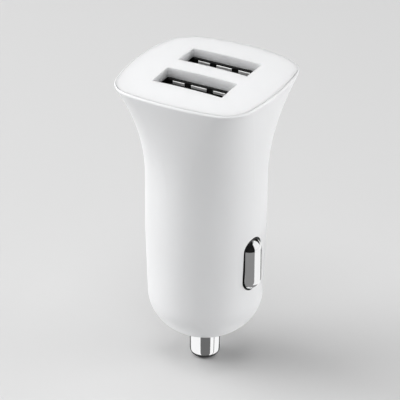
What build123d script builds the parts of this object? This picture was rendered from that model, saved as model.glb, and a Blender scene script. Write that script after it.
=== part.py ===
from build123d import *
import math
import os

# Car charger plug for a 12 V outlet, with two charging sockets in its face.
# Millimetres. Z points up, X along the sockets' long side. The origin is the lowest point of the tip.
# A depth is measured down from the middle of the crowned face.

os.makedirs("parts", exist_ok=True)

# Head
HEAD_HALF_WIDTH = 13.05
HEAD_CORNER_RADIUS = 5.5
HEAD_SIDE_RADIUS = 40.0
HEAD_DEPTH = 0.9
CROWN_RADIUS = 143.0
RIM_CHAMFER = 0.3
RIM_EDGE_BREAK = 0.1

# Flare and barrel
BARREL_RADIUS = 9.92
FLARE_POWER = 2.12
BARREL_TOP_DEPTH = 19.0
BARREL_TAPER_DEPTH = 27.0
DOME_TOP_DEPTH = 39.5
DOME_RADIUS = 9.5
DOME_BOTTOM_DEPTH = 47.5
FLARE_SECTION_COUNT = 8
CAVITY_SECTION_COUNT = 6
CUT_OVERSHOOT = 0.5

# Walls of the housing
LIP_WIDTH = 0.4
SEAM_GAP = 0.1
PLATE_BOTTOM_DEPTH = 1.85
LEDGE_WIDTH = 1.4
FLARE_WALL = 1.0
BORE_TOP_RADIUS = 8.6
BORE_BOTTOM_RADIUS = 8.2
DOME_FLOOR_DEPTH = 46.0
SKIRT_BOTTOM_DEPTH = 4.4
SKIRT_WALL = 1.0
SKIRT_GAP = 0.1

# Sockets
PORT_WIDTH = 12.5
PORT_HEIGHT = 5.12
PORT_PITCH = 8.43
PORT_CORNER = 0.15
PORT_WALL = 0.5
PORT_OUTER_CORNER = 1.0
PORT_BASE_CORNER = 2.0
PORT_FLOOR_DEPTH = 11.9
PORT_FLOOR_THICKNESS = 1.0
TONGUE_WIDTH = 11.1
TONGUE_THICKNESS = 0.7
TONGUE_BACK_GAP = 0.36
TONGUE_TIP_DEPTH = 1.5
TONGUE_TIP_CHAMFER = 0.15

# Contacts of a socket: a pad that stands proud of the tongue, on a strip moulded into it
CONTACT_PITCH = 3.65
DATA_CONTACT_WIDTH = 2.75
SIDE_CONTACT_WIDTH = 2.1
STRIP_THICKNESS = 0.2
STRIP_COVER = 0.2
PAD_PROUD = 0.1
PAD_DROP = 0.18
PAD_HEIGHT = 0.56
PAD_CHAMFER = 0.08
TAIL_REACH = 1.0

# Boards
PORT_BOARD_RADIUS = 8.95
PORT_BOARD_THICKNESS = 1.1
BOARD_THICKNESS = 1.2
BOARD_WIDE_HALF = 7.9
BOARD_NARROW_HALF = 5.0
BOARD_STEP_GAP = 1.9
BOARD_BOTTOM_DEPTH = 38.5
BOARD_TAB_WIDTH = 6.0
BOARD_TAB_REACH = 0.7
HOLE_GAP = 0.1
RAIL_WIDTH = 0.9
RAIL_GAP = 0.05
RAIL_INNER = 7.3
RAIL_TOP_GAP = 0.6
RAIL_END_GAP = 0.2

# Centre tip and its spring
TIP_REACH = 4.7
TIP_RADIUS = 2.5
TIP_ROUNDING = 1.2
TIP_HOLE_GAP = 0.1
TIP_FLANGE_RADIUS = 3.3
TIP_FLANGE_HEIGHT = 1.2
TIP_PILOT_RADIUS = 1.4
TIP_PILOT_HEIGHT = 1.4
TIP_GUIDE_RADIUS = 3.4
TIP_GUIDE_WALL = 0.9
TIP_GUIDE_TOP_DEPTH = 41.0
SPRING_WIRE = 0.5
SPRING_WIRE_SIDES = 6
SPRING_RADIUS = 1.9
SPRING_TURNS = 3.5
TERMINAL_RADIUS = 2.9
TERMINAL_SHEET = 0.5
TERMINAL_RIM_HEIGHT = 1.2
TERMINAL_TAB_WIDTH = 3.0
TERMINAL_TAB_HEIGHT = 3.0

# Side contacts and their springs
CONTACT_TURN = -10.4
SLOT_WIDTH = 4.36
SLOT_HEIGHT = 9.68
SLOT_DEPTH = 31.59
SLOT_GAP = 0.28
BUTTON_PEAK = 11.0
BUTTON_SHOULDER = 9.7
FLANGE_OUTER = 7.4
FLANGE_SHEET = 0.5
FLANGE_MARGIN = 0.7
LEAF_SHEET = 0.25
LEAF_WIDTH = 3.0
LEAF_LENGTH = 8.9
BRACKET_SHEET = 0.3
BRACKET_WIDTH = 4.4
BRACKET_HEIGHT = 10.0
BRACKET_ARM_REACH = 1.4
BRACKET_ARM_HEIGHT = 3.0

# Converter pieces on the main board: width across, height along the board, thickness off the board.
# A drop is measured down from the port board's underside.
INDUCTOR_RADIUS = 4.0
INDUCTOR_HEIGHT = 5.0
INDUCTOR_FLANGE = 1.0
INDUCTOR_NECK_RADIUS = 1.7
WINDING_RADIUS = 3.5
INDUCTOR_X = -1.5
INDUCTOR_DROP = 6.0
CAPACITOR_RADIUS = 2.5
CAPACITOR_HEIGHT = 9.0
CAPACITOR_X = 3.2
CAPACITOR_TOP_DROP = 1.4
CAPACITOR_CRIMP = 0.25
CHIP_SIZE = (3.9, 4.9, 1.5)
CHIP_DEPTH = 28.0
CHIP_STANDOFF = 0.1
LEAD_PITCH = 1.27
LEAD_WIDTH = 0.42
LEAD_SHEET = 0.2
LEAD_SPAN = 6.0
LEAD_FOOT = 0.6
DIODE_SIZE = (2.6, 4.3, 2.2)
DIODE_DEPTH = 33.0
FUSE_SIZE = (2.6, 6.1, 1.6)
FUSE_DEPTH = 29.0
RESISTOR_SIZE = (0.8, 1.6, 0.5)
RESISTOR_DEPTH = 34.2
RESISTOR_PITCH = 1.5
RESISTOR_COUNT = 3
CHIP_CAPACITOR_SIZE = (1.25, 2.0, 1.2)
CHIP_CAPACITOR_DROPS = (3.2, 7.0)
CHIP_CAPACITOR_X = 5.6

# Values worked out from the sizes above
TOTAL_HEIGHT = DOME_BOTTOM_DEPTH + TIP_REACH
PORT_BOTTOM_DEPTH = PORT_FLOOR_DEPTH + PORT_FLOOR_THICKNESS
BOARD_SEAT_DEPTH = PORT_BOTTOM_DEPTH + PORT_BOARD_THICKNESS
SIDE_CENTRE = HEAD_SIDE_RADIUS - HEAD_HALF_WIDTH
HEAD_CORNER_CENTRE = (math.sqrt(2 * (HEAD_SIDE_RADIUS - HEAD_CORNER_RADIUS) ** 2 - SIDE_CENTRE ** 2)
                      - SIDE_CENTRE) / 2
SIDE_ANGLE = math.atan2(HEAD_CORNER_CENTRE, HEAD_CORNER_CENTRE + SIDE_CENTRE)
PORT_OUTER_WIDTH = PORT_WIDTH + 2 * PORT_WALL
PORT_OUTER_HEIGHT = PORT_HEIGHT + 2 * PORT_WALL
TONGUE_FRONT = PORT_HEIGHT / 2 - TONGUE_BACK_GAP - TONGUE_THICKNESS
STRIP_FRONT = TONGUE_FRONT + STRIP_COVER
STRIP_BACK = STRIP_FRONT + STRIP_THICKNESS
PORT_PLACES = {"front": -PORT_PITCH / 2, "rear": PORT_PITCH / 2}
CONTACT_WIDTHS = {"power": SIDE_CONTACT_WIDTH, "data": DATA_CONTACT_WIDTH, "ground": SIDE_CONTACT_WIDTH}
TAIL_DEPTH = BOARD_SEAT_DEPTH + TAIL_REACH
BOARD_FACE = BOARD_THICKNESS / 2
BOARD_TAB_DEPTH = PORT_BOTTOM_DEPTH - BOARD_TAB_REACH
TIP_FLANGE_TOP_DEPTH = DOME_FLOOR_DEPTH - TIP_FLANGE_HEIGHT
TERMINAL_BOTTOM_DEPTH = BOARD_BOTTOM_DEPTH + TERMINAL_SHEET
BUTTON_WIDTH = SLOT_WIDTH - 2 * SLOT_GAP
BUTTON_STRAIGHT = SLOT_HEIGHT - SLOT_WIDTH
FLANGE_INNER = FLANGE_OUTER - FLANGE_SHEET
BRACKET_FACE = BOARD_NARROW_HALF + BRACKET_SHEET
BOARD_STEP_DEPTH = SLOT_DEPTH - BRACKET_HEIGHT / 2 - BOARD_STEP_GAP
RAIL_TOP_DEPTH = BOARD_SEAT_DEPTH + RAIL_TOP_GAP
RAIL_BOTTOM_DEPTH = BOARD_STEP_DEPTH - RAIL_END_GAP
INDUCTOR_DEPTH = BOARD_SEAT_DEPTH + INDUCTOR_DROP
CAPACITOR_TOP_DEPTH = BOARD_SEAT_DEPTH + CAPACITOR_TOP_DROP
QUARTER_TURN = 90
HALF_TURN = 180


def level(depth):
    """Height above the origin of a depth below the crown."""
    return TOTAL_HEIGHT - depth


def squareness(depth):
    """How far the section has gone from the barrel's circle, 0, to the head's rounded square, 1."""
    return ((BARREL_TOP_DEPTH - depth) / (BARREL_TOP_DEPTH - HEAD_DEPTH)) ** FLARE_POWER


def flare_section(depth, inset):
    """Rounded-square outline of the flare at a depth, moved inwards by the inset."""
    square = squareness(depth)
    half = BARREL_RADIUS + (HEAD_HALF_WIDTH - BARREL_RADIUS) * square - inset
    side = BARREL_RADIUS + (HEAD_SIDE_RADIUS - BARREL_RADIUS) * square - inset
    corner = BARREL_RADIUS + (HEAD_CORNER_RADIUS - BARREL_RADIUS) * square - inset
    centre = HEAD_CORNER_CENTRE * square
    start = Vector(half - side + side * math.cos(SIDE_ANGLE), -side * math.sin(SIDE_ANGLE))
    end = Vector(start.X, -start.Y)
    diagonal = centre + corner / math.sqrt(2)
    next_start = Vector(end.Y, end.X)
    edges = []
    for turn in range(4):
        place = Pos(0, 0, level(depth)) * Rot(0, 0, QUARTER_TURN * turn)
        edges.append(place * ThreePointArc(start, (half, 0), end))
        edges.append(place * ThreePointArc(end, (diagonal, diagonal), next_start))
    return Wire([edge.edge() for edge in edges])


def flare_solid(top, bottom, count, inset_at):
    """Solid lofted through evenly spaced flare sections; inset_at gives each depth's inset."""
    depths = [top + (bottom - top) * index / (count - 1) for index in range(count)]
    sections = [flare_section(depth, inset_at(depth)) for depth in depths]
    return Solid.make_loft(sections, ruled=count == 2)


def turned(*edges):
    """Solid turned about Z from a profile in X and Z."""
    return revolve(Plane.XZ * make_face(Wire(list(edges))), Axis.Z)


def turned_points(*points):
    """Solid turned about Z from straight-sided profile points of radius and height."""
    return revolve(Plane.XZ * make_face(Polyline(*points, close=True)), Axis.Z)


def column(radius, top, bottom):
    """Upright cylinder between two depths."""
    height = bottom - top
    return Pos(0, 0, level(bottom) + height / 2) * Cylinder(radius, height)


def upright_box(x_range, y_range, top, bottom):
    """Box between two depths."""
    centre = (sum(x_range) / 2, sum(y_range) / 2, level((top + bottom) / 2))
    return Pos(*centre) * Box(x_range[1] - x_range[0], y_range[1] - y_range[0], bottom - top)


def upright_prism(sketch, top, bottom):
    """Solid of a plan outline between two depths."""
    return extrude(Pos(0, 0, level(bottom)) * sketch, bottom - top)


def crown():
    """Large ball whose top is the crowned face."""
    return Pos(0, 0, TOTAL_HEIGHT - CROWN_RADIUS) * Sphere(CROWN_RADIUS)


def quarter_ellipse(centre, width, height):
    """Quarter of an ellipse from straight below its centre to its right-hand side."""
    return EllipticalCenterArc(centre, width, height, start_angle=3 * QUARTER_TURN, arc_size=QUARTER_TURN)


def barrel_outside():
    """Straight barrel, slight taper and dome, as one turned solid."""
    top = level(BARREL_TOP_DEPTH)
    taper = level(BARREL_TAPER_DEPTH)
    dome = level(DOME_TOP_DEPTH)
    bottom = level(DOME_BOTTOM_DEPTH)
    return turned(
        Line((0, top), (BARREL_RADIUS, top)),
        Line((BARREL_RADIUS, top), (BARREL_RADIUS, taper)),
        Line((BARREL_RADIUS, taper), (DOME_RADIUS, dome)),
        quarter_ellipse((0, dome), DOME_RADIUS, dome - bottom),
        Line((0, bottom), (0, top)))


def barrel_inside():
    """Bore of the barrel down to the floor of the dome."""
    top = level(BOARD_SEAT_DEPTH)
    dome = level(DOME_TOP_DEPTH)
    floor = level(DOME_FLOOR_DEPTH)
    return turned(
        Line((0, top), (BORE_TOP_RADIUS, top)),
        Line((BORE_TOP_RADIUS, top), (BORE_BOTTOM_RADIUS, dome)),
        quarter_ellipse((0, dome), BORE_BOTTOM_RADIUS, dome - floor),
        Line((0, floor), (0, top)))


def cavity_inset(depth):
    """Wall of the head: wide at the plate's ledge, thinner down the flare."""
    share = min((depth - PLATE_BOTTOM_DEPTH) / (BOARD_SEAT_DEPTH / 2), 1)
    return LIP_WIDTH + LEDGE_WIDTH + (FLARE_WALL - LIP_WIDTH - LEDGE_WIDTH) * share


def slot_outline(grow):
    """Upright stadium of the side slot, in a plane that faces +X."""
    width = SLOT_WIDTH + 2 * grow
    straight = SLOT_HEIGHT - SLOT_WIDTH
    upright = Plane.YZ * Pos(0, level(SLOT_DEPTH)) * Rot(0, 0, QUARTER_TURN)
    return upright * SlotOverall(straight + width, width)


def inner_turn(shape):
    """Turns a piece of the barrel's insides from X to the side contacts' direction."""
    return Rot(0, 0, CONTACT_TURN) * shape


def both_sides(shape):
    """A piece at the right side contact and the same turned half round."""
    return [inner_turn(shape), Rot(0, 0, HALF_TURN) * inner_turn(shape)]


def rim_edges(head):
    """Edges round the face of the head, without the short ones across its chamfer."""
    high = head.edges().filter_by(lambda edge: edge.center().Z > level(PLATE_BOTTOM_DEPTH))
    return high.filter_by(lambda edge: edge.length > 2 * RIM_CHAMFER)


def make_head():
    """Solid flare up to the crowned face, with its rim broken in three small facets."""
    head = flare_solid(-CUT_OVERSHOOT, BARREL_TOP_DEPTH, FLARE_SECTION_COUNT, lambda depth: 0) & crown()
    head = chamfer(rim_edges(head), RIM_CHAMFER)
    return chamfer(rim_edges(head), RIM_EDGE_BREAK)


def make_housing():
    """Moulded shell with lip, ledge, board rails, side slots and the tip's guide."""
    shell = make_head() + barrel_outside()
    shell -= flare_solid(-CUT_OVERSHOOT, PLATE_BOTTOM_DEPTH, 2, lambda depth: LIP_WIDTH)
    shell -= flare_solid(PLATE_BOTTOM_DEPTH, BOARD_SEAT_DEPTH, CAVITY_SECTION_COUNT, cavity_inset)
    bore = barrel_inside()
    shell -= bore
    guide = column(TIP_GUIDE_RADIUS + TIP_GUIDE_WALL, TIP_GUIDE_TOP_DEPTH, DOME_FLOOR_DEPTH)
    shell += guide & bore
    shell -= column(TIP_GUIDE_RADIUS, TIP_GUIDE_TOP_DEPTH, DOME_FLOOR_DEPTH)
    inner = BOARD_FACE + RAIL_GAP
    for side in (inner, -inner - RAIL_WIDTH):
        rail = upright_box((RAIL_INNER, BARREL_RADIUS), (side, side + RAIL_WIDTH), RAIL_TOP_DEPTH,
                           RAIL_BOTTOM_DEPTH) & bore
        for piece in both_sides(rail):
            shell += piece
    shell -= column(TIP_RADIUS + TIP_HOLE_GAP, TIP_GUIDE_TOP_DEPTH, TOTAL_HEIGHT)
    for slot in both_sides(extrude(slot_outline(0), BARREL_RADIUS + CUT_OVERSHOOT)):
        shell -= slot
    return shell


def port_plan(width, height, corner, name):
    """Rounded rectangle round a socket's middle."""
    return Pos(0, PORT_PLACES[name]) * RectangleRounded(width, height, corner)


def make_face_plate():
    """Crowned plate with two windows and a skirt that centres it in the head."""
    plate = flare_solid(-CUT_OVERSHOOT, PLATE_BOTTOM_DEPTH, 2, lambda depth: LIP_WIDTH + SEAM_GAP) & crown()
    skirt_inset = LIP_WIDTH + LEDGE_WIDTH + SKIRT_GAP
    skirt = flare_solid(PLATE_BOTTOM_DEPTH, SKIRT_BOTTOM_DEPTH, 2, lambda depth: skirt_inset)
    skirt -= flare_solid(PLATE_BOTTOM_DEPTH, SKIRT_BOTTOM_DEPTH, 2, lambda depth: skirt_inset + SKIRT_WALL)
    plate += skirt
    for name in PORT_PLACES:
        window = port_plan(PORT_WIDTH, PORT_HEIGHT, PORT_CORNER, name)
        plate -= upright_prism(window, -CUT_OVERSHOOT, PLATE_BOTTOM_DEPTH)
    return plate


def contact_places():
    """Middle and width of each contact along X, by name."""
    places = {}
    for index, (name, width) in enumerate(CONTACT_WIDTHS.items()):
        places[name] = ((index - 1) * CONTACT_PITCH, width)
    return places


def make_contact(port, name):
    """Contact strip moulded into the tongue, with a pad at its end and a tail through the port board."""
    middle, width = contact_places()[name]
    pad = TONGUE_FRONT - PAD_PROUD
    pad_top = TONGUE_TIP_DEPTH + PAD_DROP
    pad_bottom = pad_top + PAD_HEIGHT
    profile = Polyline(
        (STRIP_BACK, level(pad_top)),
        (pad + PAD_CHAMFER, level(pad_top)),
        (pad, level(pad_top + PAD_CHAMFER)),
        (pad, level(pad_bottom - PAD_CHAMFER)),
        (pad + PAD_CHAMFER, level(pad_bottom)),
        (STRIP_FRONT, level(pad_bottom)),
        (STRIP_FRONT, level(TAIL_DEPTH)),
        (STRIP_BACK, level(TAIL_DEPTH)),
        close=True)
    strip = extrude(Plane.YZ * make_face(profile), width)
    return Pos(middle - width / 2, PORT_PLACES[port], 0) * strip


def make_port(name):
    """Insulator of one socket: a box open at the top, with the tongue standing in it."""
    body = upright_prism(port_plan(PORT_OUTER_WIDTH, PORT_OUTER_HEIGHT, PORT_OUTER_CORNER, name),
                         PLATE_BOTTOM_DEPTH, PORT_FLOOR_DEPTH)
    body -= upright_prism(port_plan(PORT_WIDTH, PORT_HEIGHT, PORT_CORNER, name),
                          PLATE_BOTTOM_DEPTH, PORT_FLOOR_DEPTH)
    body += upright_prism(port_plan(PORT_OUTER_WIDTH, PORT_OUTER_HEIGHT, PORT_BASE_CORNER, name),
                          PORT_FLOOR_DEPTH, PORT_BOTTOM_DEPTH)
    front = PORT_PLACES[name] + TONGUE_FRONT
    tongue = upright_box((-TONGUE_WIDTH / 2, TONGUE_WIDTH / 2), (front, front + TONGUE_THICKNESS),
                         TONGUE_TIP_DEPTH, PORT_FLOOR_DEPTH)
    tip = tongue.faces().sort_by(Axis.Z)[-1].edges().sort_by(Axis.Y)[-1]
    body += chamfer(tip, TONGUE_TIP_CHAMFER)
    for contact in CONTACT_WIDTHS:
        body -= make_contact(name, contact)
    return body


def make_port_board():
    """Round board under the sockets, with holes for the contacts' tails and a slot for the main board."""
    board = column(PORT_BOARD_RADIUS, PORT_BOTTOM_DEPTH, BOARD_SEAT_DEPTH)
    for y in PORT_PLACES.values():
        for middle, width in contact_places().values():
            board -= upright_box((middle - width / 2 - HOLE_GAP, middle + width / 2 + HOLE_GAP),
                                 (y + STRIP_FRONT - HOLE_GAP, y + STRIP_BACK + HOLE_GAP),
                                 PORT_BOTTOM_DEPTH, BOARD_SEAT_DEPTH)
    half = BOARD_TAB_WIDTH / 2 + HOLE_GAP
    side = BOARD_FACE + HOLE_GAP
    return board - inner_turn(upright_box((-half, half), (-side, side), PORT_BOTTOM_DEPTH, BOARD_SEAT_DEPTH))


def make_main_board():
    """Upright board, narrow between the side contacts, with a tab through the port board."""
    across = (-BOARD_FACE, BOARD_FACE)
    board = upright_box((-BOARD_WIDE_HALF, BOARD_WIDE_HALF), across, BOARD_SEAT_DEPTH, BOARD_STEP_DEPTH)
    board += upright_box((-BOARD_NARROW_HALF, BOARD_NARROW_HALF), across, BOARD_STEP_DEPTH, BOARD_BOTTOM_DEPTH)
    board += upright_box((-BOARD_TAB_WIDTH / 2, BOARD_TAB_WIDTH / 2), across, BOARD_TAB_DEPTH, BOARD_SEAT_DEPTH)
    return board


def make_tip():
    """Turned centre contact: rounded pin, retaining flange and a pilot inside the spring."""
    seat = level(DOME_FLOOR_DEPTH)
    flange = level(TIP_FLANGE_TOP_DEPTH)
    pilot = flange + TIP_PILOT_HEIGHT
    rounding = TIP_ROUNDING * (1 - math.sqrt(0.5))
    return turned(
        Line((0, 0), (TIP_RADIUS - TIP_ROUNDING, 0)),
        ThreePointArc((TIP_RADIUS - TIP_ROUNDING, 0), (TIP_RADIUS - rounding, rounding),
                      (TIP_RADIUS, TIP_ROUNDING)),
        Line((TIP_RADIUS, TIP_ROUNDING), (TIP_RADIUS, seat)),
        Line((TIP_RADIUS, seat), (TIP_FLANGE_RADIUS, seat)),
        Line((TIP_FLANGE_RADIUS, seat), (TIP_FLANGE_RADIUS, flange)),
        Line((TIP_FLANGE_RADIUS, flange), (TIP_PILOT_RADIUS, flange)),
        Line((TIP_PILOT_RADIUS, flange), (TIP_PILOT_RADIUS, pilot)),
        Line((TIP_PILOT_RADIUS, pilot), (0, pilot)),
        Line((0, pilot), (0, 0)))


def make_tip_spring():
    """Coil spring between the tip's flange and the terminal; its wire is six-sided to keep its faces few."""
    bottom = level(TIP_FLANGE_TOP_DEPTH) + SPRING_WIRE / 2
    height = level(TERMINAL_BOTTOM_DEPTH) - SPRING_WIRE / 2 - bottom
    path = Helix(height / SPRING_TURNS, height, SPRING_RADIUS)
    section = Plane(origin=path @ 0, z_dir=path % 0) * RegularPolygon(SPRING_WIRE / 2, SPRING_WIRE_SIDES)
    return Pos(0, 0, bottom) * sweep(section, path)


def make_tip_terminal():
    """Spring cup with two tabs soldered on either side of the main board."""
    cup = column(TERMINAL_RADIUS, BOARD_BOTTOM_DEPTH, TERMINAL_BOTTOM_DEPTH + TERMINAL_RIM_HEIGHT)
    cup -= column(TERMINAL_RADIUS - TERMINAL_SHEET, TERMINAL_BOTTOM_DEPTH,
                  TERMINAL_BOTTOM_DEPTH + TERMINAL_RIM_HEIGHT)
    half = TERMINAL_TAB_WIDTH / 2
    for side in ((BOARD_FACE, BOARD_FACE + TERMINAL_SHEET), (-BOARD_FACE - TERMINAL_SHEET, -BOARD_FACE)):
        cup += upright_box((-half, half), side, BOARD_BOTTOM_DEPTH - TERMINAL_TAB_HEIGHT, BOARD_BOTTOM_DEPTH)
    return cup


def make_ground_contact():
    """Pill-shaped button on a flange, on the +X side."""
    half = BUTTON_WIDTH / 2
    rise = BUTTON_PEAK - BUTTON_SHOULDER
    arc_radius = (half ** 2 + rise ** 2) / (2 * rise)
    arc_centre = BUTTON_PEAK - arc_radius
    bend = math.asin(half / arc_radius) / 2
    middle = (arc_radius * math.sin(bend), arc_centre + arc_radius * math.cos(bend))
    half_profile = [
        Line((0, FLANGE_OUTER), (half, FLANGE_OUTER)),
        Line((half, FLANGE_OUTER), (half, BUTTON_SHOULDER)),
        ThreePointArc((half, BUTTON_SHOULDER), middle, (0, BUTTON_PEAK)),
        Line((0, BUTTON_PEAK), (0, FLANGE_OUTER))]
    across = Plane(origin=(0, 0, level(SLOT_DEPTH)), x_dir=(0, 1, 0), z_dir=(0, 0, -1))
    section = across * make_face(Wire(half_profile))
    bar = extrude(section, BUTTON_STRAIGHT / 2, both=True)
    bar += mirror(bar, Plane.XZ)
    for end in (-1, 1):
        place = Pos(0, 0, end * BUTTON_STRAIGHT / 2)
        bar += revolve(place * section, Axis((0, 0, level(SLOT_DEPTH) + end * BUTTON_STRAIGHT / 2), (1, 0, 0)))
    return bar + Pos(FLANGE_INNER, 0, 0) * extrude(slot_outline(FLANGE_MARGIN), FLANGE_SHEET)


def make_ground_spring():
    """Arched leaf between the bracket and the side contact's flange, on the +X side."""
    middle = level(SLOT_DEPTH)
    reach = LEAF_LENGTH / 2
    inner_reach = reach - 2 * LEAF_SHEET
    arch = Wire([
        ThreePointArc((BRACKET_FACE, middle - reach), (FLANGE_INNER, middle),
                      (BRACKET_FACE, middle + reach)).edge(),
        Line((BRACKET_FACE, middle + reach), (BRACKET_FACE, middle + inner_reach)).edge(),
        ThreePointArc((BRACKET_FACE, middle + inner_reach), (FLANGE_INNER - LEAF_SHEET, middle),
                      (BRACKET_FACE, middle - inner_reach)).edge(),
        Line((BRACKET_FACE, middle - inner_reach), (BRACKET_FACE, middle - reach)).edge()])
    return extrude(Plane.XZ * make_face(arch), LEAF_WIDTH / 2, both=True)


def make_ground_bracket():
    """Folded clip on the main board's edge that the leaf spring bears on, on the +X side."""
    middle = SLOT_DEPTH
    clip = upright_box((BOARD_NARROW_HALF, BRACKET_FACE), (-BRACKET_WIDTH / 2, BRACKET_WIDTH / 2),
                       middle - BRACKET_HEIGHT / 2, middle + BRACKET_HEIGHT / 2)
    inner = BOARD_NARROW_HALF - BRACKET_ARM_REACH
    for side in ((BOARD_FACE, BOARD_FACE + BRACKET_SHEET), (-BOARD_FACE - BRACKET_SHEET, -BOARD_FACE)):
        clip += upright_box((inner, BOARD_NARROW_HALF), side, middle - BRACKET_ARM_HEIGHT / 2,
                            middle + BRACKET_ARM_HEIGHT / 2)
    return clip


def on_front(x, depth, lift=0.0):
    """Plane on the main board's front face, looking out along -Y, lifted off it."""
    return Plane(origin=(x, -BOARD_FACE - lift, level(depth)), x_dir=(1, 0, 0), z_dir=(0, -1, 0))


def on_back(x, depth):
    """Plane on the main board's back face, looking out along +Y."""
    return Plane(origin=(x, BOARD_FACE, level(depth)), x_dir=(-1, 0, 0), z_dir=(0, 1, 0))


def block(place, size):
    """Box standing on a board face."""
    return extrude(place * Rectangle(size[0], size[1]), size[2])


def group(pieces):
    """Separate solids kept together as one node."""
    return Compound([solid for piece in pieces for solid in piece.solids()])


def make_inductor_core():
    """Ferrite drum: two flanges and a neck."""
    place = on_front(INDUCTOR_X, INDUCTOR_DEPTH)
    drum = extrude(place * Circle(INDUCTOR_RADIUS), INDUCTOR_FLANGE)
    drum += extrude(place * Circle(INDUCTOR_NECK_RADIUS), INDUCTOR_HEIGHT)
    top = place.offset(INDUCTOR_HEIGHT - INDUCTOR_FLANGE)
    return drum + extrude(top * Circle(INDUCTOR_RADIUS), INDUCTOR_FLANGE)


def make_inductor_winding():
    """Copper wound on the drum's neck."""
    place = on_front(INDUCTOR_X, INDUCTOR_DEPTH).offset(INDUCTOR_FLANGE)
    ring = Circle(WINDING_RADIUS) - Circle(INDUCTOR_NECK_RADIUS)
    return extrude(place * ring, INDUCTOR_HEIGHT - 2 * INDUCTOR_FLANGE)


def make_capacitor(x):
    """Can capacitor lying against the back of the main board, with its crimp groove."""
    groove = CAPACITOR_RADIUS - CAPACITOR_CRIMP
    low = CAPACITOR_CRIMP * 4
    can = turned_points(
        (0, 0), (CAPACITOR_RADIUS, 0), (CAPACITOR_RADIUS, low), (groove, low + CAPACITOR_CRIMP),
        (CAPACITOR_RADIUS, low + 2 * CAPACITOR_CRIMP), (CAPACITOR_RADIUS, CAPACITOR_HEIGHT),
        (0, CAPACITOR_HEIGHT))
    return Pos(x, BOARD_FACE + CAPACITOR_RADIUS, level(CAPACITOR_TOP_DEPTH + CAPACITOR_HEIGHT)) * can


def make_chip():
    """Moulded body of the converter chip."""
    return block(on_front(0, CHIP_DEPTH, CHIP_STANDOFF), CHIP_SIZE)


def make_chip_leads():
    """Gull-wing leads down both sides of the chip, as one group."""
    body = CHIP_SIZE[0] / 2
    foot = LEAD_SPAN / 2
    knee = foot - LEAD_FOOT
    height = CHIP_STANDOFF + CHIP_SIZE[2] / 2
    profile = make_face(Polyline(
        (body, height - LEAD_SHEET), (knee, height - LEAD_SHEET), (knee, 0), (foot, 0), (foot, LEAD_SHEET),
        (knee + LEAD_SHEET, LEAD_SHEET), (knee + LEAD_SHEET, height), (body, height), close=True))
    leads = []
    for index in range(4):
        depth = CHIP_DEPTH + (index - 1.5) * LEAD_PITCH
        section = Plane(origin=(0, -BOARD_FACE, level(depth)), x_dir=(1, 0, 0), z_dir=(0, 0, 1)) * mirror(
            profile, Plane.XZ)
        lead = extrude(section, LEAD_WIDTH / 2, both=True)
        leads += [lead, mirror(lead, Plane.YZ)]
    return group(leads)


def make_resistors():
    """Chip resistors in a row on the back of the main board, as one group."""
    middle = (RESISTOR_COUNT - 1) / 2
    places = [on_back((index - middle) * RESISTOR_PITCH, RESISTOR_DEPTH) for index in range(RESISTOR_COUNT)]
    return group([block(place, RESISTOR_SIZE) for place in places])


def make_chip_capacitors():
    """Ceramic chip capacitors on the front of the main board, as one group."""
    places = [on_front(CHIP_CAPACITOR_X, BOARD_SEAT_DEPTH + drop) for drop in CHIP_CAPACITOR_DROPS]
    return group([block(place, CHIP_CAPACITOR_SIZE) for place in places])


def save(name, shape):
    """Writes one node's file."""
    solids = shape.solids()
    export_step(solids[0] if len(solids) == 1 else shape, f"parts/{name}.step")


save("housing", make_housing())
save("face_plate", make_face_plate())
for port in PORT_PLACES:
    save(f"port_{port}", make_port(port))
    for contact in CONTACT_WIDTHS:
        save(f"{port}_{contact}_contact", make_contact(port, contact))
save("port_board", make_port_board())
save("tip_contact", make_tip())
save("tip_spring", make_tip_spring())
for part, shape in (("contact", make_ground_contact()), ("spring", make_ground_spring()),
                    ("bracket", make_ground_bracket())):
    right, left = both_sides(shape)
    save(f"ground_{part}_right", right)
    save(f"ground_{part}_left", left)
for name, shape in (
        ("main_board", make_main_board()),
        ("tip_terminal", make_tip_terminal()),
        ("inductor_core", make_inductor_core()),
        ("inductor_winding", make_inductor_winding()),
        ("input_capacitor", make_capacitor(CAPACITOR_X)),
        ("output_capacitor", make_capacitor(-CAPACITOR_X)),
        ("converter_chip", make_chip()),
        ("chip_leads", make_chip_leads()),
        ("rectifier_diode", block(on_front(0, DIODE_DEPTH), DIODE_SIZE)),
        ("input_fuse", block(on_back(0, FUSE_DEPTH), FUSE_SIZE)),
        ("chip_resistors", make_resistors()),
        ("chip_capacitors", make_chip_capacitors())):
    save(name, inner_turn(shape))
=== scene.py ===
import bpy
import math
from mathutils import Matrix, Vector


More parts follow.
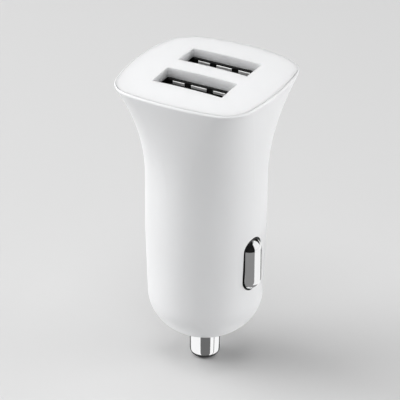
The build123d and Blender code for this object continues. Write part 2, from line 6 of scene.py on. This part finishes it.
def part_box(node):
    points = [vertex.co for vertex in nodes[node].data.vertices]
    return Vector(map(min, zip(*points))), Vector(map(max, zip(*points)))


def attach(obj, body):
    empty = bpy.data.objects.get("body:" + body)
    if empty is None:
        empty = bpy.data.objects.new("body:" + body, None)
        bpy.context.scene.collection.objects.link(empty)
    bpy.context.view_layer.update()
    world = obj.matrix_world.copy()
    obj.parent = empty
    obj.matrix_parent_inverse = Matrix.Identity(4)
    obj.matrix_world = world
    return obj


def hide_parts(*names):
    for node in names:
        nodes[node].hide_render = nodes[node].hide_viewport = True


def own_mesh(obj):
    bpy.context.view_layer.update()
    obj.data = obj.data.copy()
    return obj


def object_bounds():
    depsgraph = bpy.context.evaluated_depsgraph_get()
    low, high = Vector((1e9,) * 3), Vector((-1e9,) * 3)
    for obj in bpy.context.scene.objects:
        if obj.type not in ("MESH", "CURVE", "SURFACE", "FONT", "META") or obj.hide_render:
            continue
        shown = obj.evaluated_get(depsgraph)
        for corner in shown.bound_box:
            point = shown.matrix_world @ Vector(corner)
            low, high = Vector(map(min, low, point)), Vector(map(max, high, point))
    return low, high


# Car charger plug with two sockets, standing on its tip on a pale studio floor.
# Metres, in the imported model's own frame.

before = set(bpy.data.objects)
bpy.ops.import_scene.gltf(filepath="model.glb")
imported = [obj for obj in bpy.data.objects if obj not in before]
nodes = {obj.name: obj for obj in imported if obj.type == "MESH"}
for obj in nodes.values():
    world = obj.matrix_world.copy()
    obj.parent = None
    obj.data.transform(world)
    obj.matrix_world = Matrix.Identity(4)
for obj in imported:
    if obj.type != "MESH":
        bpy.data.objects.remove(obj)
cad_low, cad_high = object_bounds()
scene = bpy.context.scene
scene.view_settings.view_transform = "Standard"

# Camera: fitted to the photograph through the middle of the plug's face, with its angles in degrees
IMAGE_SIZE = 400
SENSOR_WIDTH = 36.0
CAMERA_AZIMUTH = 28.4
CAMERA_ELEVATION = 28.45
CAMERA_ROLL = 0.45
CAMERA_DISTANCE = 0.450
CAMERA_CLIP = (0.01, 20.0)
FOCAL_PIXELS = 2842.0
FACE_PIXEL = (207.3, 70.85)

# Floor and surrounding light
FLOOR_HALF = 4.0
FLOOR_TONE = (0.66, 0.66, 0.66, 1.0)
FLOOR_ROUGHNESS = 0.9
WORLD_TONE = (1.0, 1.0, 1.0, 1.0)
WORLD_STRENGTH = 0.22

# Softboxes: place to the camera's right, towards it and up, width, height, power, and spread in degrees
SOFTBOXES = {
    "left_softbox": ((-0.62, -0.11, 0.43), 0.70, 0.60, 1.80, 100),
    "right_softbox": ((0.85, 0.05, 0.18), 0.70, 0.30, 1.25, 100),
    "top_softbox": ((-0.08, 0.18, 0.98), 0.70, 0.70, 4.75, 180),
    "front_fill": ((0.15, 0.62, 0.05), 0.50, 0.08, 0.07, 120)}

# Cards that only shiny surfaces see: how far one layer lifts them off the floor, and steps along an arc
CARD_LIFT = 0.00003
CARD_STEPS = 24

# Round the tip's foot: inner and outer distance from its middle, how much further the bearings open out at
# the outer edge, and for each card the stripe of the tip that shows it, from one bearing to the other off
# the camera's direction in degrees, and its tone
TIP_CARD_INNER = 0.0029
TIP_CARD_OUTER = 0.0115
TIP_CARD_SPREAD = 1.85
TIP_CARDS = {
    "tip_edge_left": (-97, -70, 0.08),
    "tip_left": (-70, -16.7, 1.05),
    "tip_front": (-16.7, 21.1, 0.16),
    "tip_right": (21.1, 35, 1.05),
    "tip_line": (35, 39, 0.40),
    "tip_right_side": (39, 70, 1.05),
    "tip_edge_right": (70, 97, 0.08)}

# On the floor further out: first and last bearing, inner and outer distance from the tip, and tone.
# A later card lies on the earlier ones.
FLOOR_CARDS = {
    "under_tip": (-180, 180, 0.0, TIP_CARD_INNER, 0.04),
    "front_floor": (-45, 52, TIP_CARD_OUTER, 0.08, 0.27),
    "front_far_floor": (-45, 52, 0.08, 0.40, 0.01),
    "right_floor": (52, 160, TIP_CARD_OUTER, 0.25, 1.0),
    "left_floor": (-165, -45, TIP_CARD_OUTER, 0.25, 1.0),
    "left_contact_line": (236, 246, TIP_CARD_OUTER, 0.25, 0.08),
    "side_contact_foot": (40, 110, TIP_CARD_OUTER, 0.020, 0.27),
    "side_contact_edge": (121, 160, 0.026, 0.050, 0.10)}

# Upright and overhead: corners to the camera's right, towards it and up, and a tone
WALL_CARDS = {
    "front_flag": (
        ((-0.30, 0.30, 0.0), (0.38, 0.30, 0.0), (0.38, 0.30, 0.5), (-0.30, 0.30, 0.5)), 0.01),
    "overhead_flag": (
        ((-0.30, 0.30, 0.5), (0.38, 0.30, 0.5), (0.30, -0.05, 0.8), (-0.30, -0.05, 0.8)), 0.01),
    "back_flag": (
        ((0.42, -0.25, 0.0), (0.0, -0.60, 0.0), (0.0, -0.60, 0.7), (0.42, -0.25, 0.7)), 0.01),
    "right_wall": (
        ((0.40, 0.31, 0.0), (0.40, -0.25, 0.0), (0.40, -0.25, 0.6), (0.40, 0.31, 0.6)), 0.95),
    "left_wall": (
        ((-0.40, 0.35, 0.0), (-0.40, -0.60, 0.0), (-0.40, -0.60, 0.6), (-0.40, 0.35, 0.6)), 0.95)}

# Noise over a surface: the range that most of it falls in, and how fine each kind goes
NOISE_RANGE = (0.3, 0.7)
DRIFT_DETAIL = 3
GRAIN_DETAIL = 4
MARK_DETAIL = 3
BLOOM_DETAIL = 2

# Moulded grain: how far the drift of tone and the grain each go into the gloss
DRIFT_GLOSS = 0.6
GRAIN_GLOSS = 0.4

# Rolled marks: scale of their pattern along each axis, small along the upright where they run, and the
# bloom's scale beside theirs
MARK_STRETCH = (1.0, 1.0, 0.06)
BLOOM_SCALE_SHARE = 0.1

# White plastic: how deep light goes into each moulding, in metres, and the share of it that does
WHITE_PLASTICS = {"housing": (0.0002, 0.7), "face_plate": (0.0015, 0.75)}

# Painted shade in the gaps round the side contacts, darkened into the housing's colour: how near another
# surface stands, how open a spot is where the shade is full and where it is gone, the height that it stays
# below, and the painted shade's tone
GAP_REACH = 0.0008
GAP_OPENNESS = (0.35, 0.6)
GAP_TOP = 0.030
GAP_PAINTED_SHADE_TONE = (0.02, 0.02, 0.02, 1)

# Winding: bands of wire in a metre, how much they wander, and tone and roughness between and on the turns
WIRE_BANDS = 500.0
WIRE_WANDER = 0.6
WIRE_TONES = ((0.20, 0.055, 0.018, 1), (0.62, 0.24, 0.09, 1))
WIRE_ROUGHNESS = (0.45, 0.25)

# Boards: squares of glass weave in a metre, how far they show, scale of the drift, and tones and roughness
WEAVE_SCALE = 2500.0
WEAVE_SHARE = 0.25
LAMINATE_DRIFT_SCALE = 400.0
LAMINATE_TONES = ((0.012, 0.10, 0.040, 1), (0.030, 0.19, 0.075, 1))
LAMINATE_ROUGHNESS = (0.28, 0.42)

# Chip parts: plated share at each end and its tone, and each kind's pitch and length along the upright
END_SHARE = 0.2
END_TONE = (0.72, 0.72, 0.71, 1)
RESISTOR_PITCH = 0.010
RESISTOR_LENGTH = 0.0016
CHIP_CAPACITOR_PITCH = 0.0038
CHIP_CAPACITOR_LENGTH = 0.0020

# Springs: round wire and turns of the tip's coil, share of a turn that lies flat at each end, steps in a
# turn, and sides of the wire
COIL_WIRE = 0.0005
COIL_TURNS = 3.5
COIL_FLAT_TURNS = 0.4
COIL_STEPS = 36
COIL_WIRE_SIDES = 12


def level_axes():
    """Level directions to the camera's right and towards the camera."""
    azimuth = math.radians(CAMERA_AZIMUTH)
    right = Vector((math.cos(azimuth), math.sin(azimuth), 0))
    toward = Vector((math.sin(azimuth), -math.cos(azimuth), 0))
    return right, toward


def camera_axes():
    """Right, up and back directions of the camera in the frame."""
    level_right, level_toward = level_axes()
    elevation = math.radians(CAMERA_ELEVATION)
    roll = math.radians(CAMERA_ROLL)
    back = math.cos(elevation) * level_toward + Vector((0, 0, math.sin(elevation)))
    level_up = back.cross(level_right)
    right = math.cos(roll) * level_right + math.sin(roll) * level_up
    up = math.cos(roll) * level_up - math.sin(roll) * level_right
    return right, up, back


def add_camera():
    """Camera at the photograph's viewing angle."""
    right, up, back = camera_axes()
    face_middle = Vector((0, 0, cad_high.z))
    middle = IMAGE_SIZE / 2
    across = (FACE_PIXEL[0] - middle) / FOCAL_PIXELS * CAMERA_DISTANCE
    above = (middle - FACE_PIXEL[1]) / FOCAL_PIXELS * CAMERA_DISTANCE
    data = bpy.data.cameras.new("camera")
    data.sensor_width = SENSOR_WIDTH
    data.lens = FOCAL_PIXELS * SENSOR_WIDTH / IMAGE_SIZE
    data.clip_start, data.clip_end = CAMERA_CLIP
    camera = bpy.data.objects.new("camera", data)
    place = face_middle + back * CAMERA_DISTANCE - right * across - up * above
    turn = Matrix((right, up, back)).transposed()
    camera.matrix_world = Matrix.Translation(place) @ turn.to_4x4()
    scene.collection.objects.link(camera)
    scene.camera = camera


def studio_point(right, toward, height):
    """Point given by its offsets to the camera's right, towards the camera and up."""
    level_right, level_toward = level_axes()
    return right * level_right + toward * level_toward + Vector((0, 0, height))


def add_softbox(name, place, width, height, power, spread_angle):
    """Rectangular lamp that faces the middle of the plug."""
    data = bpy.data.lights.new(name, "AREA")
    data.shape = "RECTANGLE"
    data.size = width
    data.size_y = height
    data.energy = power
    data.spread = math.radians(spread_angle)
    lamp = bpy.data.objects.new(name, data)
    lamp.location = place
    plug_middle = Vector((0, 0, cad_high.z / 2))
    lamp.rotation_euler = (plug_middle - place).to_track_quat("-Z", "Y").to_euler()
    scene.collection.objects.link(lamp)


def new_material(name):
    """Material whose look comes from nodes."""
    material = bpy.data.materials.new(name)
    material.use_nodes = True
    return material


def shader_of(material):
    """The material's main shader."""
    return material.node_tree.nodes["Principled BSDF"]


def set_values(node, values):
    """Sets plain values on a node's own sockets."""
    for label, value in values.items():
        node.inputs[label].default_value = value


def add_panel(name, corners, material):
    """Flat stage piece through the given corners."""
    mesh = bpy.data.meshes.new(name)
    mesh.from_pydata(corners, [], [range(len(corners))])
    mesh.materials.append(material)
    panel = bpy.data.objects.new(name, mesh)
    scene.collection.objects.link(panel)
    return panel


def add_floor():
    """Pale matt floor."""
    material = new_material("floor_paper")
    set_values(shader_of(material), {
        "Base Color": FLOOR_TONE, "Roughness": FLOOR_ROUGHNESS, "Specular IOR Level": 0.0})
    half = FLOOR_HALF
    add_panel("floor", [(-half, -half, 0), (half, -half, 0), (half, half, 0), (-half, half, 0)], material)


def floor_arc(first, last, distance, layer=1):
    """Points between two bearings at one distance from the tip, as many card lifts up as the layer."""
    lift = layer * CARD_LIFT
    arc = []
    for step in range(CARD_STEPS + 1):
        bearing = math.radians(first + (last - first) * step / CARD_STEPS)
        arc.append((distance * math.sin(bearing), distance * math.cos(bearing), lift))
    return arc


def add_card(name, corners, tone):
    """Glowing card that lights nothing and shows only in reflections."""
    material = new_material(name)
    tree = material.node_tree
    glow = tree.nodes.new("ShaderNodeEmission")
    glow.inputs["Color"].default_value = (tone, tone, tone, 1)
    tree.links.new(glow.outputs["Emission"], tree.nodes["Material Output"].inputs["Surface"])
    card = add_panel(name, [studio_point(*corner) for corner in corners], material)
    card.visible_camera = False
    card.visible_diffuse = False
    card.visible_transmission = False
    card.visible_shadow = False


def add_cards():
    """Cards on the floor round the tip, further out on the floor, and upright."""
    for name, (first, last, tone) in TIP_CARDS.items():
        far = floor_arc(first * TIP_CARD_SPREAD, last * TIP_CARD_SPREAD, TIP_CARD_OUTER)
        add_card(name, far + floor_arc(last, first, TIP_CARD_INNER), tone)
    for layer, (name, (first, last, inner, outer, tone)) in enumerate(FLOOR_CARDS.items(), 1):
        corners = floor_arc(first, last, outer, layer)
        if inner:
            corners += floor_arc(last, first, inner, layer)
        else:
            # a full circle comes back to its first point
            corners.pop(0)
        add_card(name, corners, tone)
    for name, (corners, tone) in WALL_CARDS.items():
        add_card(name, corners, tone)


def add_world():
    """Even surrounding light."""
    world = bpy.data.worlds.new("studio")
    world.use_nodes = True
    set_values(world.node_tree.nodes["Background"], {"Color": WORLD_TONE, "Strength": WORLD_STRENGTH})
    scene.world = world


def add_studio():
    """Floor, surrounding light, softboxes and cards."""
    add_floor()
    add_world()
    for name, (place, width, height, power, spread_angle) in SOFTBOXES.items():
        add_softbox(name, studio_point(*place), width, height, power, spread_angle)
    add_cards()


def new_group(name, inputs, outputs):
    """Shader node group and its two ends. An input given as four numbers is a colour."""
    group = bpy.data.node_groups.new(name, "ShaderNodeTree")
    for label, value in inputs.items():
        kind = "NodeSocketColor" if isinstance(value, tuple) else "NodeSocketFloat"
        socket = group.interface.new_socket(name=label, in_out="INPUT", socket_type=kind)
        socket.default_value = value
    for label, kind in outputs.items():
        group.interface.new_socket(name=label, in_out="OUTPUT", socket_type=kind)
    return group, group.nodes.new("NodeGroupInput"), group.nodes.new("NodeGroupOutput")


def feed(tree, source, socket):
    """Links an output to an input, or sets the input to a plain value."""
    if isinstance(source, bpy.types.NodeSocket):
        tree.links.new(source, socket)
    else:
        socket.default_value = source


def surface_place(tree):
    """Coordinates that stay with the surface."""
    return tree.nodes.new("ShaderNodeTexCoord").outputs["Object"]


def upright_place(tree):
    """Height over the floor at rest, from coordinates that stay with the surface."""
    split = tree.nodes.new("ShaderNodeSeparateXYZ")
    tree.links.new(surface_place(tree), split.inputs["Vector"])
    return split.outputs["Z"]


def stretched_place(tree, stretch):
    """Surface coordinates scaled by three numbers, for marks that run one way."""
    mapping = tree.nodes.new("ShaderNodeMapping")
    mapping.inputs["Scale"].default_value = stretch
    tree.links.new(surface_place(tree), mapping.inputs["Vector"])
    return mapping.outputs["Vector"]


def noise(tree, place, scale, detail):
    """Noise over the surface, as a factor."""
    node = tree.nodes.new("ShaderNodeTexNoise")
    node.inputs["Detail"].default_value = detail
    tree.links.new(place, node.inputs["Vector"])
    feed(tree, scale, node.inputs["Scale"])
    return node.outputs["Fac"]


def remap(tree, factor, low, high, source_range=(0.0, 1.0)):
    """A factor carried from one range to another."""
    node = tree.nodes.new("ShaderNodeMapRange")
    node.inputs["From Min"].default_value, node.inputs["From Max"].default_value = source_range
    tree.links.new(factor, node.inputs["Value"])
    feed(tree, low, node.inputs["To Min"])
    feed(tree, high, node.inputs["To Max"])
    return node.outputs["Result"]


def blend_colours(tree, factor, first, second):
    """Colour between two colours by a factor."""
    node = tree.nodes.new("ShaderNodeMix")
    node.data_type = "RGBA"
    tree.links.new(factor, node.inputs["Factor"])
    feed(tree, first, node.inputs["A"])
    feed(tree, second, node.inputs["B"])
    return node.outputs["Result"]


def calculate(tree, operation, first, second):
    """Result of one operation on two values."""
    node = tree.nodes.new("ShaderNodeMath")
    node.operation = operation
    feed(tree, first, node.inputs[0])
    feed(tree, second, node.inputs[1])
    return node.outputs["Value"]


def make_moulded_grain():
    """Group for moulded and pressed pieces: colour drift, uneven gloss and a fine grain."""
    group, start, end = new_group(
        "moulded_grain",
        {"First Colour": (0.8, 0.8, 0.8, 1), "Second Colour": (0.8, 0.8, 0.8, 1), "Drift Scale": 200.0,
         "Grain Scale": 8000.0, "Low Roughness": 0.3, "High Roughness": 0.4},
        {"Colour": "NodeSocketColor", "Roughness": "NodeSocketFloat", "Height": "NodeSocketFloat"})
    given = start.outputs
    place = surface_place(group)
    drift = noise(group, place, given["Drift Scale"], DRIFT_DETAIL)
    grain = noise(group, place, given["Grain Scale"], GRAIN_DETAIL)
    colour = blend_colours(group, drift, given["First Colour"], given["Second Colour"])
    drift_gloss = calculate(group, "MULTIPLY", drift, DRIFT_GLOSS)
    grain_gloss = calculate(group, "MULTIPLY", grain, GRAIN_GLOSS)
    gloss = calculate(group, "ADD", drift_gloss, grain_gloss)
    rough = remap(group, gloss, given["Low Roughness"], given["High Roughness"], NOISE_RANGE)
    group.links.new(colour, end.inputs["Colour"])
    group.links.new(rough, end.inputs["Roughness"])
    group.links.new(grain, end.inputs["Height"])
    return group


def make_rolled_marks():
    """Group for drawn and rolled metal: fine marks along the upright, with uneven gloss and tone."""
    group, start, end = new_group(
        "rolled_marks",
        {"First Colour": (0.7, 0.7, 0.7, 1), "Second Colour": (0.7, 0.7, 0.7, 1), "Mark Scale": 6000.0,
         "Low Roughness": 0.2, "High Roughness": 0.4},
        {"Colour": "NodeSocketColor", "Roughness": "NodeSocketFloat", "Height": "NodeSocketFloat"})
    given = start.outputs
    marks = noise(group, stretched_place(group, MARK_STRETCH), given["Mark Scale"], MARK_DETAIL)
    bloom_scale = calculate(group, "MULTIPLY", given["Mark Scale"], BLOOM_SCALE_SHARE)
    bloom = noise(group, surface_place(group), bloom_scale, BLOOM_DETAIL)
    colour = blend_colours(group, bloom, given["First Colour"], given["Second Colour"])
    rough = remap(group, marks, given["Low Roughness"], given["High Roughness"], NOISE_RANGE)
    group.links.new(colour, end.inputs["Colour"])
    group.links.new(rough, end.inputs["Roughness"])
    group.links.new(marks, end.inputs["Height"])
    return group


def add_bump(tree, shader, height, relief, strength):
    """Raises a height on the shader's normal."""
    bump = tree.nodes.new("ShaderNodeBump")
    bump.inputs["Distance"].default_value = relief
    bump.inputs["Strength"].default_value = strength
    tree.links.new(height, bump.inputs["Height"])
    tree.links.new(bump.outputs["Normal"], shader.inputs["Normal"])


def use_group(tree, group, values):
    """Places a group in a material with its own values."""
    node = tree.nodes.new("ShaderNodeGroup")
    node.node_tree = group
    set_values(node, values)
    return node.outputs


def finish_from(group, name, values, relief, strength, metallic=0.0):
    """Material whose colour, gloss and relief come from one group."""
    material = new_material(name)
    tree = material.node_tree
    shader = shader_of(material)
    marks = use_group(tree, group, values)
    tree.links.new(marks["Colour"], shader.inputs["Base Color"])
    tree.links.new(marks["Roughness"], shader.inputs["Roughness"])
    add_bump(tree, shader, marks["Height"], relief, strength)
    shader.inputs["Metallic"].default_value = metallic
    return material


def paint_shade_in_slots(tree, shader):
    """Paints shade into the housing's colour in the narrow gaps round the side contacts, where another
    surface stands within reach.
    """
    nearby = tree.nodes.new("ShaderNodeAmbientOcclusion")
    nearby.inputs["Distance"].default_value = GAP_REACH
    openness = remap(tree, nearby.outputs["AO"], 0.0, 1.0, GAP_OPENNESS)
    over_slots = calculate(tree, "GREATER_THAN", upright_place(tree), GAP_TOP)
    plain_share = calculate(tree, "MAXIMUM", openness, over_slots)
    base = shader.inputs["Base Color"]
    plain_colour = base.links[0].from_socket
    # painted shade: the dark gap tone is blended into the base colour where the surface is hemmed in
    tree.links.new(blend_colours(tree, plain_share, GAP_PAINTED_SHADE_TONE, plain_colour), base)


def paint(material, *names):
    """Gives the named nodes one material."""
    for name in names:
        slots = nodes[name].data.materials
        slots.clear()
        slots.append(material)


def dress_white_plastic(moulded):
    """Housing and face plate: white plastic that light goes a little way into, with shade painted into the
    housing's colour in the slots.
    """
    for name, (depth, share) in WHITE_PLASTICS.items():
        material = finish_from(moulded, f"{name}_plastic", {
            "First Colour": (0.856, 0.861, 0.870, 1), "Second Colour": (0.868, 0.873, 0.882, 1),
            "Drift Scale": 120.0, "Grain Scale": 9000.0,
            "Low Roughness": 0.34, "High Roughness": 0.42}, relief=2e-6, strength=0.4)
        shader = shader_of(material)
        set_values(shader, {
            "Specular IOR Level": 0.3, "Subsurface Weight": share, "Subsurface Radius": (1.0, 1.0, 1.0),
            "Subsurface Scale": depth})
        if name == "housing":
            # painted shade in the slots round the side contacts
            paint_shade_in_slots(material.node_tree, shader)
        paint(material, name)


def dress_black_plastic(moulded):
    """Matt black insulators of the sockets."""
    material = finish_from(moulded, "black_plastic", {
        "First Colour": (0.004, 0.004, 0.004, 1), "Second Colour": (0.007, 0.007, 0.007, 1),
        "Drift Scale": 300.0, "Grain Scale": 7000.0,
        "Low Roughness": 0.5, "High Roughness": 0.65}, relief=4e-6, strength=0.4)
    set_values(shader_of(material), {"Specular IOR Level": 0.15})
    paint(material, "port_front", "port_rear")


def dress_bright_plating(rolled):
    """Mirror-bright tip and side contacts."""
    material = finish_from(rolled, "bright_plating", {
        "First Colour": (0.86, 0.865, 0.87, 1), "Second Colour": (0.90, 0.90, 0.90, 1),
        "Mark Scale": 3000.0,
        "Low Roughness": 0.04, "High Roughness": 0.07}, relief=4e-7, strength=0.15, metallic=1.0)
    paint(material, "tip_contact", "ground_contact_right", "ground_contact_left")


def dress_socket_nickel(rolled):
    """Dull plated strips of the sockets."""
    material = finish_from(rolled, "socket_nickel", {
        "First Colour": (0.88, 0.88, 0.87, 1), "Second Colour": (0.95, 0.95, 0.94, 1),
        "Mark Scale": 5000.0,
        "Low Roughness": 0.5, "High Roughness": 0.7}, relief=2e-6, strength=0.3, metallic=1.0)
    for port in ("front", "rear"):
        paint(material, *[f"{port}_{role}_contact" for role in ("power", "data", "ground")])


def dress_spring_steel(rolled):
    """Coil and leaf springs."""
    material = finish_from(rolled, "spring_steel", {
        "First Colour": (0.46, 0.46, 0.47, 1), "Second Colour": (0.56, 0.56, 0.56, 1),
        "Mark Scale": 5000.0,
        "Low Roughness": 0.22, "High Roughness": 0.36}, relief=2e-6, strength=0.3, metallic=1.0)
    paint(material, "tip_spring", "ground_spring_right", "ground_spring_left")


def dress_brass(rolled):
    """Spring cup and clips of brass sheet."""
    material = finish_from(rolled, "brass_sheet", {
        "First Colour": (0.62, 0.47, 0.20, 1), "Second Colour": (0.72, 0.56, 0.27, 1),
        "Mark Scale": 4000.0,
        "Low Roughness": 0.24, "High Roughness": 0.40}, relief=2e-6, strength=0.3, metallic=1.0)
    paint(material, "tip_terminal", "ground_bracket_right", "ground_bracket_left")


def dress_leads(rolled):
    """Tinned leads of the converter chip."""
    material = finish_from(rolled, "tinned_leads", {
        "First Colour": (0.68, 0.68, 0.67, 1), "Second Colour": (0.76, 0.76, 0.75, 1),
        "Mark Scale": 6000.0,
        "Low Roughness": 0.30, "High Roughness": 0.45}, relief=2e-6, strength=0.3, metallic=1.0)
    paint(material, "chip_leads")


def dress_capacitor_cans(rolled):
    """Drawn cans of the two capacitors."""
    material = finish_from(rolled, "capacitor_can", {
        "First Colour": (0.66, 0.67, 0.68, 1), "Second Colour": (0.74, 0.74, 0.75, 1),
        "Mark Scale": 3000.0,
        "Low Roughness": 0.28, "High Roughness": 0.42}, relief=2e-6, strength=0.3, metallic=1.0)
    paint(material, "input_capacitor", "output_capacitor")


def dress_epoxy(moulded):
    """Black bodies of the chip and the diode."""
    material = finish_from(moulded, "chip_epoxy", {
        "First Colour": (0.016, 0.016, 0.017, 1), "Second Colour": (0.026, 0.026, 0.027, 1),
        "Drift Scale": 400.0, "Grain Scale": 9000.0,
        "Low Roughness": 0.45, "High Roughness": 0.6}, relief=5e-6, strength=0.5)
    paint(material, "converter_chip", "rectifier_diode")


def dress_ferrite(moulded):
    """Pressed core of the inductor."""
    material = finish_from(moulded, "ferrite", {
        "First Colour": (0.045, 0.044, 0.043, 1), "Second Colour": (0.075, 0.073, 0.070, 1),
        "Drift Scale": 500.0, "Grain Scale": 6000.0,
        "Low Roughness": 0.55, "High Roughness": 0.75}, relief=8e-6, strength=0.6)
    paint(material, "inductor_core")


def dress_fuse(moulded):
    """Fired body of the fuse."""
    material = finish_from(moulded, "fuse_ceramic", {
        "First Colour": (0.70, 0.68, 0.62, 1), "Second Colour": (0.78, 0.76, 0.71, 1),
        "Drift Scale": 400.0, "Grain Scale": 8000.0,
        "Low Roughness": 0.35, "High Roughness": 0.5}, relief=3e-6, strength=0.4)
    paint(material, "input_fuse")


def dress_winding():
    """Enamelled copper wound on the drum: turns of wire lie side by side across the neck."""
    material = new_material("enamelled_copper")
    tree = material.node_tree
    shader = shader_of(material)
    wave = tree.nodes.new("ShaderNodeTexWave")
    wave.bands_direction = "Y"
    wave.inputs["Scale"].default_value = WIRE_BANDS
    wave.inputs["Distortion"].default_value = WIRE_WANDER
    tree.links.new(surface_place(tree), wave.inputs["Vector"])
    turns = wave.outputs["Fac"]
    tree.links.new(blend_colours(tree, turns, *WIRE_TONES), shader.inputs["Base Color"])
    tree.links.new(remap(tree, turns, *WIRE_ROUGHNESS), shader.inputs["Roughness"])
    add_bump(tree, shader, turns, relief=6e-5, strength=0.8)
    set_values(shader, {"Metallic": 0.8, "Coat Weight": 0.4})
    paint(material, "inductor_winding")


def dress_boards():
    """Green laminate: glass weave under the mask, with a slight drift of tone."""
    material = new_material("board_laminate")
    tree = material.node_tree
    shader = shader_of(material)
    checker = tree.nodes.new("ShaderNodeTexChecker")
    checker.inputs["Scale"].default_value = WEAVE_SCALE
    tree.links.new(surface_place(tree), checker.inputs["Vector"])
    weave = checker.outputs["Fac"]
    drift = noise(tree, surface_place(tree), LAMINATE_DRIFT_SCALE, DRIFT_DETAIL)
    mask = calculate(tree, "ADD", calculate(tree, "MULTIPLY", weave, WEAVE_SHARE), drift)
    tree.links.new(blend_colours(tree, mask, *LAMINATE_TONES), shader.inputs["Base Color"])
    tree.links.new(remap(tree, drift, *LAMINATE_ROUGHNESS), shader.inputs["Roughness"])
    add_bump(tree, shader, weave, relief=4e-6, strength=0.3)
    paint(material, "port_board", "main_board")


def dress_chips(moulded, name, body, pitch, length):
    """Chip parts with plated ends, which are found along the upright from the node's own foot."""
    material = new_material(f"{name}_body")
    tree = material.node_tree
    shader = shader_of(material)
    grain = use_group(tree, moulded, body)
    above_foot = calculate(tree, "SUBTRACT", upright_place(tree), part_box(name)[0].z)
    along = calculate(tree, "MODULO", above_foot, pitch)
    low_end = calculate(tree, "LESS_THAN", along, length * END_SHARE)
    high_end = calculate(tree, "GREATER_THAN", along, length * (1 - END_SHARE))
    plated = calculate(tree, "MAXIMUM", low_end, high_end)
    tree.links.new(blend_colours(tree, plated, grain["Colour"], END_TONE), shader.inputs["Base Color"])
    tree.links.new(grain["Roughness"], shader.inputs["Roughness"])
    tree.links.new(plated, shader.inputs["Metallic"])
    add_bump(tree, shader, grain["Height"], relief=3e-6, strength=0.4)
    paint(material, name)


def dress_chip_parts(moulded):
    """Black resistors and tan capacitors."""
    dress_chips(moulded, "chip_resistors", {
        "First Colour": (0.018, 0.018, 0.020, 1), "Second Colour": (0.030, 0.030, 0.032, 1),
        "Drift Scale": 500.0,
        "Low Roughness": 0.30, "High Roughness": 0.45}, RESISTOR_PITCH, RESISTOR_LENGTH)
    dress_chips(moulded, "chip_capacitors", {
        "First Colour": (0.42, 0.30, 0.17, 1), "Second Colour": (0.50, 0.37, 0.22, 1),
        "Drift Scale": 500.0,
        "Low Roughness": 0.35, "High Roughness": 0.50}, CHIP_CAPACITOR_PITCH, CHIP_CAPACITOR_LENGTH)


def dress_nodes():
    """Every node's material: what shows from outside first, then what the housing hides."""
    moulded = make_moulded_grain()
    rolled = make_rolled_marks()
    dress_white_plastic(moulded)
    dress_black_plastic(moulded)
    dress_bright_plating(rolled)
    dress_socket_nickel(rolled)
    dress_spring_steel(rolled)
    dress_brass(rolled)
    dress_leads(rolled)
    dress_capacitor_cans(rolled)
    dress_epoxy(moulded)
    dress_ferrite(moulded)
    dress_fuse(moulded)
    dress_winding()
    dress_boards()
    dress_chip_parts(moulded)


def coil_ring(turn, radius, bottom, top):
    """Ring of points round the coil's wire, after so many turns."""
    angle = 2 * math.pi * turn
    share = (turn - COIL_FLAT_TURNS) / (COIL_TURNS - 2 * COIL_FLAT_TURNS)
    height = bottom + (top - bottom) * min(max(share, 0.0), 1.0)
    ring = []
    for side in range(COIL_WIRE_SIDES):
        around = 2 * math.pi * side / COIL_WIRE_SIDES
        reach = radius + COIL_WIRE / 2 * math.cos(around)
        rise = COIL_WIRE / 2 * math.sin(around)
        ring.append((reach * math.cos(angle), reach * math.sin(angle), height + rise))
    return ring


def make_coil():
    """Mesh of the tip's coil: round wire with its end turns laid flat, in the room that the node takes."""
    low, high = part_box("tip_spring")
    radius = high.x - COIL_WIRE / 2
    bottom = low.z + COIL_WIRE / 2
    top = high.z - COIL_WIRE / 2
    steps = round(COIL_TURNS * COIL_STEPS)
    points = []
    for step in range(steps + 1):
        points += coil_ring(step / COIL_STEPS, radius, bottom, top)
    sides = COIL_WIRE_SIDES
    faces = [range(sides - 1, -1, -1), range(steps * sides, (steps + 1) * sides)]
    for step in range(steps):
        for side in range(sides):
            first = step * sides + side
            second = step * sides + (side + 1) % sides
            faces.append((first, second, second + sides, first + sides))
    mesh = bpy.data.meshes.new("tip_spring_coil")
    mesh.from_pydata(points, [], faces)
    mesh.shade_smooth()
    mesh.materials.append(nodes["tip_spring"].data.materials[0])
    return mesh


def add_pressed_spring(name, mesh, node):
    """Spring in place of its node, which is hidden, carried with the plug's body."""
    spring = bpy.data.objects.new(name, mesh)
    scene.collection.objects.link(spring)
    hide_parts(node)
    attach(spring, "plug")
    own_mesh(spring)


def add_springs():
    """Coil behind the tip and a leaf behind each side contact."""
    add_pressed_spring("tip_spring_coil", make_coil(), "tip_spring")
    for side in ("right", "left"):
        node = f"ground_spring_{side}"
        add_pressed_spring(f"{node}_leaf", nodes[node].data.copy(), node)


add_camera()
add_studio()
dress_nodes()
add_springs()
